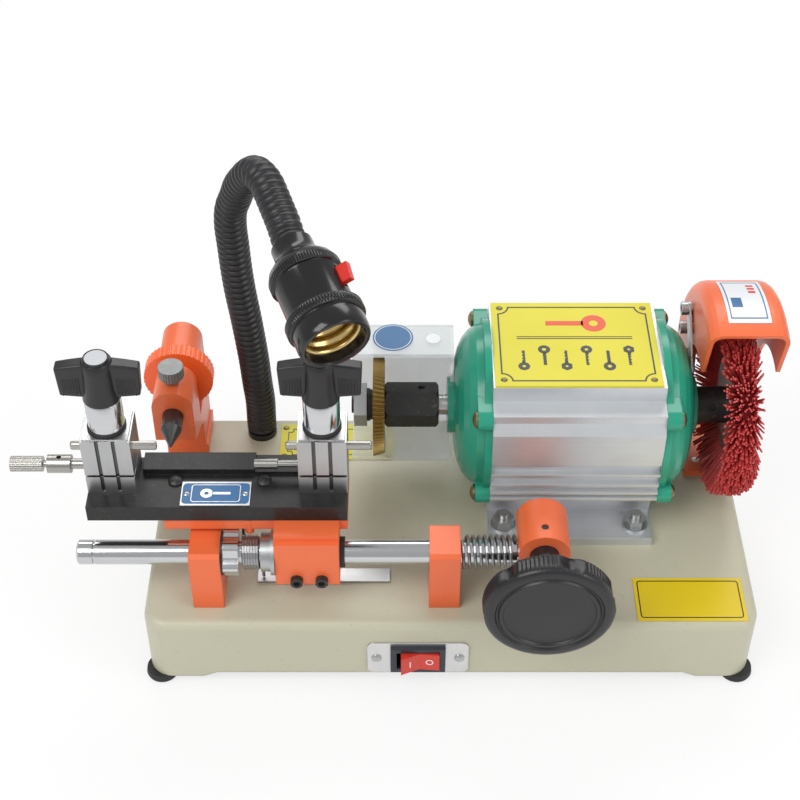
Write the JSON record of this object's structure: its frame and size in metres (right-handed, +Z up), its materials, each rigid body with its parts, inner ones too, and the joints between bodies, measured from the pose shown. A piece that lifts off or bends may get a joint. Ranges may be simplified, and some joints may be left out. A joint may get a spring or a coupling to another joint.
{
  "type": "key duplicating machine",
  "caption": "Bench key copying machine: electric motor with cutter and deburring brush, tracer, tilting carriage with two vises, and a gooseneck work lamp holder.",
  "frame": {"origin": "bottom centre of the overall box at rest, on the plane the rubber feet stand on", "axes": "+X to the operator's right along the spindle, +Y to the back, +Z up"},
  "size_m": [0.4332, 0.2134, 0.2814],
  "materials": {
    "base_casting": "stone-grey hammered enamel",
    "rubber_feet": "black",
    "switch_plate": "satin",
    "switch_body": "black",
    "switch_rocker": "red",
    "base_screws": "zinc",
    "cord_gland": "black",
    "run_capacitor": "white",
    "motor_housing": "extruded",
    "motor_stator": "laminated",
    "motor_rotor": "ground",
    "motor_bearings": "ground",
    "end_bell_left": "green gloss enamel",
    "end_bell_right": "green gloss enamel",
    "motor_fasteners": "zinc",
    "label_plates": "yellow print, no text",
    "plate_rivets": "dull",
    "cutter_arbor": "black oxide",
    "cutter_wheel": "bronze-coloured tool steel",
    "cutter_washers": "black oxide",
    "cutter_nut": "zinc",
    "brush_hub": "black oxide",
    "brush_discs": "bright",
    "brush_bristles": "red nylon",
    "spindle_set_screws": "black oxide",
    "brush_guard": "orange enamel",
    "guard_post": "orange enamel",
    "guard_bolts": "zinc",
    "chip_shield": "clear plastic",
    "tracer_bracket": "orange enamel",
    "tracer_dial": "orange",
    "tracer_bar": "ground",
    "tracer_lock_screw": "zinc, knurled",
    "shaft_pillars": "orange enamel",
    "rest_strip": "bright",
    "carriage_shaft": "polished",
    "carriage_casting": "orange enamel",
    "carriage_screws": "black oxide",
    "jaw_bed": "black oxide",
    "bed_plate": "blue panel, no text",
    "lower_jaws": "ground",
    "vise_studs": "ground",
    "upper_jaw_left": "ground",
    "upper_jaw_right": "ground",
    "wing_knob_left": "black on a chrome sleeve",
    "wing_knob_right": "black on a chrome sleeve",
    "stop_rod_left": "nickel",
    "stop_rod_right": "nickel",
    "spring_collar": "chrome",
    "torsion_spring": "spring steel",
    "thrust_washers": "zinc",
    "buffer_spring": "spring steel",
    "lever_hub": "orange enamel",
    "feed_knob": "black on a steel stem",
    "gooseneck_foot": "black",
    "hose_lower": "black, ribbed",
    "hose_upper": "black, ribbed",
    "lamp_holder": "black",
    "lamp_contact": "bright",
    "lamp_switch": "red"
  },
  "bodies": {
    "base": {"base_casting": "base_casting", "rubber_feet": "rubber_feet", "switch_plate": "switch_plate", "switch_body": "switch_body", "base_screws": "base_screws", "cord_gland": "cord_gland", "run_capacitor": "run_capacitor", "motor_housing": "motor_housing", "motor_stator": "motor_stator", "motor_bearings": "motor_bearings", "end_bell_left": "end_bell_left", "end_bell_right": "end_bell_right", "motor_fasteners": "motor_fasteners", "label_plates": "label_plates", "plate_rivets": "plate_rivets", "guard_post": "guard_post", "guard_bolts": "guard_bolts", "chip_shield": "chip_shield", "tracer_bracket": "tracer_bracket", "shaft_pillars": "shaft_pillars", "rest_strip": "rest_strip", "gooseneck_foot": "gooseneck_foot"},
    "spindle": {"motor_rotor": "motor_rotor", "cutter_arbor": "cutter_arbor", "cutter_wheel": "cutter_wheel", "cutter_washers": "cutter_washers", "cutter_nut": "cutter_nut", "brush_hub": "brush_hub", "brush_discs": "brush_discs", "brush_bristles": "brush_bristles", "spindle_set_screws": "spindle_set_screws"},
    "guard": {"brush_guard": "brush_guard"},
    "rocker": {"switch_rocker": "switch_rocker"},
    "slider": {"torsion_spring": "torsion_spring", "thrust_washers": "thrust_washers", "buffer_spring": "buffer_spring"},
    "carriage": {"carriage_shaft": "carriage_shaft", "carriage_casting": "carriage_casting", "carriage_screws": "carriage_screws", "jaw_bed": "jaw_bed", "bed_plate": "bed_plate", "lower_jaws": "lower_jaws", "vise_studs": "vise_studs", "spring_collar": "spring_collar", "lever_hub": "lever_hub", "feed_knob": "feed_knob"},
    "jaw_left": {"upper_jaw_left": "upper_jaw_left"},
    "jaw_right": {"upper_jaw_right": "upper_jaw_right"},
    "knob_left": {"wing_knob_left": "wing_knob_left"},
    "knob_right": {"wing_knob_right": "wing_knob_right"},
    "rod_left": {"stop_rod_left": "stop_rod_left"},
    "rod_right": {"stop_rod_right": "stop_rod_right"},
    "tracer_nut": {"tracer_dial": "tracer_dial"},
    "tracer_slide": {"tracer_bar": "tracer_bar"},
    "tracer_lock": {"tracer_lock_screw": "tracer_lock_screw"},
    "arm_lower": {"hose_lower": "hose_lower"},
    "arm_upper": {"hose_upper": "hose_upper", "lamp_holder": "lamp_holder", "lamp_contact": "lamp_contact"},
    "lamp_lever": {"lamp_switch": "lamp_switch"}
  },
  "joints": [
    {"name": "spindle_spin", "type": "hinge", "parent": "base", "child": "spindle", "pos_m": [0.09905, 0.03375, 0.115], "axis": [1, 0, 0], "continuous": true},
    {"name": "guard_tilt", "type": "hinge", "parent": "base", "child": "guard", "pos_m": [0.17285, 0.07575, 0.139], "axis": [1, 0, 0], "range_deg": [-20, 0]},
    {"name": "switch_rock", "type": "hinge", "parent": "base", "child": "rocker", "pos_m": [0.01045, -0.07995, 0.0243], "axis": [0, 0, 1], "range_deg": [-18, 0]},
    {"name": "carriage_slide", "type": "slide", "parent": "base", "child": "slider", "axis": [1, 0, 0], "range_m": [0, 0.044]},
    {"name": "carriage_tilt", "type": "hinge", "parent": "slider", "child": "carriage", "pos_m": [-0.05095, -0.05525, 0.085], "axis": [1, 0, 0], "range_deg": [-22, 0], "stiffness_Nm_per_rad": 0.6, "springref_deg": 91.67},
    {"name": "jaw_left_lift", "type": "slide", "parent": "carriage", "child": "jaw_left", "axis": [0, 0, 1], "range_m": [0, 0.00375]},
    {"name": "knob_left_turn", "type": "hinge", "parent": "jaw_left", "child": "knob_left", "pos_m": [-0.15915, -0.02795, 0.18], "axis": [0, 0, 1], "range_deg": [0, 1085]},
    {"name": "jaw_right_lift", "type": "slide", "parent": "carriage", "child": "jaw_right", "axis": [0, 0, 1], "range_m": [0, 0.00375]},
    {"name": "knob_right_turn", "type": "hinge", "parent": "jaw_right", "child": "knob_right", "pos_m": [-0.04215, -0.02795, 0.18], "axis": [0, 0, 1], "range_deg": [0, 1085]},
    {"name": "stop_rod_left_slide", "type": "slide", "parent": "carriage", "child": "rod_left", "axis": [1, 0, 0], "range_m": [-0.004, 0]},
    {"name": "stop_rod_right_slide", "type": "slide", "parent": "carriage", "child": "rod_right", "axis": [1, 0, 0], "range_m": [-0.004, 0]},
    {"name": "tracer_dial_turn", "type": "hinge", "parent": "base", "child": "tracer_nut", "pos_m": [-0.13245, 0.05875, 0.115], "axis": [0, 1, 0], "range_deg": [-725, 725]},
    {"name": "tracer_bar_slide", "type": "slide", "parent": "base", "child": "tracer_slide", "axis": [0, 1, 0], "range_m": [-0.002, 0.002]},
    {"name": "tracer_lock_turn", "type": "hinge", "parent": "base", "child": "tracer_lock", "pos_m": [-0.13245, 0.03475, 0.14], "axis": [0, 0, 1], "range_deg": [0, 270]},
    {"name": "gooseneck_swing", "type": "hinge", "parent": "base", "child": "arm_lower", "pos_m": [-0.08695, 0.07575, 0.06], "axis": [0, 0, 1], "range_deg": [-40, 40]},
    {"name": "gooseneck_bend", "type": "hinge", "parent": "arm_lower", "child": "arm_upper", "pos_m": [-0.08995, 0.06295, 0.2436], "axis": [0.9241, 0.3821, 0], "range_deg": [-25, 2], "deforming": ["hose_upper", "hose_lower"]},
    {"name": "lamp_lever_rock", "type": "hinge", "parent": "arm_upper", "child": "lamp_lever", "pos_m": [-0.02767, -0.02617, 0.26103], "axis": [0.5205, 0.4232, -0.7416], "range_deg": [-16, 0]}
  ],
  "couplings": [
    {"joint": "knob_left_turn", "follows": "jaw_left_lift", "rad_per_m": 5026.5},
    {"joint": "knob_right_turn", "follows": "jaw_right_lift", "rad_per_m": 5026.5},
    {"joint": "tracer_dial_turn", "follows": "tracer_bar_slide", "rad_per_m": 6283.2}
  ]
}
